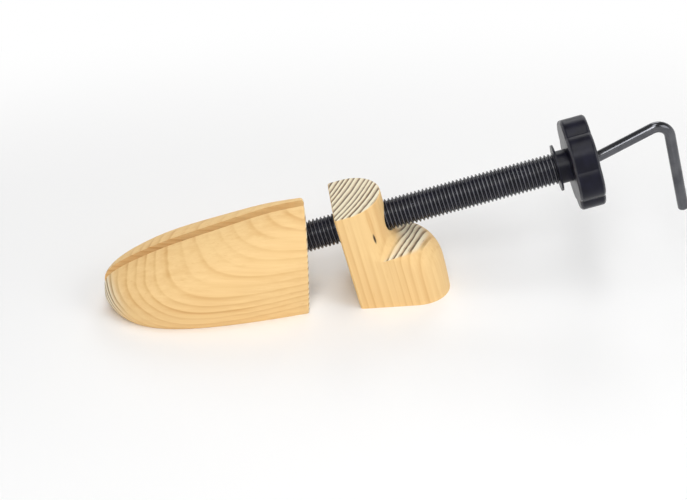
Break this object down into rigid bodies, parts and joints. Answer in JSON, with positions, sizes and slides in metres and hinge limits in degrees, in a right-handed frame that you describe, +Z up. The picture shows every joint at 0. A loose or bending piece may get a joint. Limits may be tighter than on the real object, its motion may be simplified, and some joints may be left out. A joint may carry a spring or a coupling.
{
  "type": "shoe stretcher",
  "caption": "Wooden shoe stretcher: a split toe block and a heel block on a screw sleeve, with a lobed knob for length and a hooked rod that spreads the toe.",
  "frame": {"origin": "point on the underside of the heel block, below the datum of the screw axis, in the middle plane", "axes": "+X from toe to knob along the length, +Z up from the surface that the toe and heel stand on, +Y across to the left toe half"},
  "size_m": [0.3796, 0.077, 0.1168],
  "materials": {
    "pine": "smooth sanded, unvarnished",
    "black_plastic": "satin moulded",
    "polished_steel": "polished, bright",
    "frame_steel": "plain machined",
    "bright_steel": "zinc plated",
    "spring_steel": "drawn wire",
    "brass": "turned"
  },
  "bodies": {
    "spreader": {"spreader_frame": "frame_steel", "guide_pin_rear": "bright_steel", "guide_pin_front": "bright_steel", "return_spring_rear": "spring_steel", "return_spring_front": "spring_steel", "thrust_washer": "bright_steel"},
    "toe_left": {"toe_half_left": "pine", "ramp_plate_left": "frame_steel", "ramp_screws_left": "bright_steel", "guide_bushes_left": "brass", "spring_anchors_left": "bright_steel"},
    "toe_right": {"toe_half_right": "pine", "ramp_plate_right": "frame_steel", "ramp_screws_right": "bright_steel", "guide_bushes_right": "brass", "spring_anchors_right": "bright_steel"},
    "wedge": {"wedge_nut": "frame_steel"},
    "crank": {"hook_rod": "polished_steel", "rod_washer": "bright_steel", "rod_circlip": "bright_steel"},
    "screw": {"threaded_sleeve": "black_plastic", "length_knob": "black_plastic", "knob_collar": "black_plastic", "sleeve_circlip": "bright_steel"},
    "heel": {"heel_block": "pine", "heel_nut": "black_plastic", "heel_nut_screws": "bright_steel"}
  },
  "joints": [
    {"name": "knob_turn", "type": "hinge", "parent": "spreader", "child": "screw", "pos_m": [0, 0, 0.056], "axis": [-0.9703, 0, -0.2419], "range_deg": [-1800, 12240]},
    {"name": "heel_travel", "type": "slide", "parent": "spreader", "child": "heel", "axis": [0.9703, 0, 0.2419], "range_m": [-0.01251, 0.08501]},
    {"name": "crank_turn", "type": "hinge", "parent": "spreader", "child": "crank", "pos_m": [0, 0, 0.056], "axis": [-0.9703, 0, -0.2419], "range_deg": [-720, 2880]},
    {"name": "wedge_travel", "type": "slide", "parent": "spreader", "child": "wedge", "axis": [0.9703, 0, 0.2419], "range_m": [-0.00401, 0.01601]},
    {"name": "toe_left_spread", "type": "slide", "parent": "spreader", "child": "toe_left", "axis": [0, 1, 0], "range_m": [-0.00201, 0.00801], "deforming": ["return_spring_rear", "return_spring_front"]},
    {"name": "toe_right_spread", "type": "slide", "parent": "spreader", "child": "toe_right", "axis": [0, -1, 0], "range_m": [-0.00201, 0.00801], "deforming": ["return_spring_rear", "return_spring_front"]}
  ],
  "couplings": [
    {"joint": "heel_travel", "follows": "knob_turn", "m_per_rad": 0.00039789},
    {"joint": "wedge_travel", "follows": "crank_turn", "m_per_rad": 0.00031831},
    {"joint": "toe_left_spread", "follows": "crank_turn", "m_per_rad": 0.00015915},
    {"joint": "toe_right_spread", "follows": "crank_turn", "m_per_rad": 0.00015915}
  ]
}
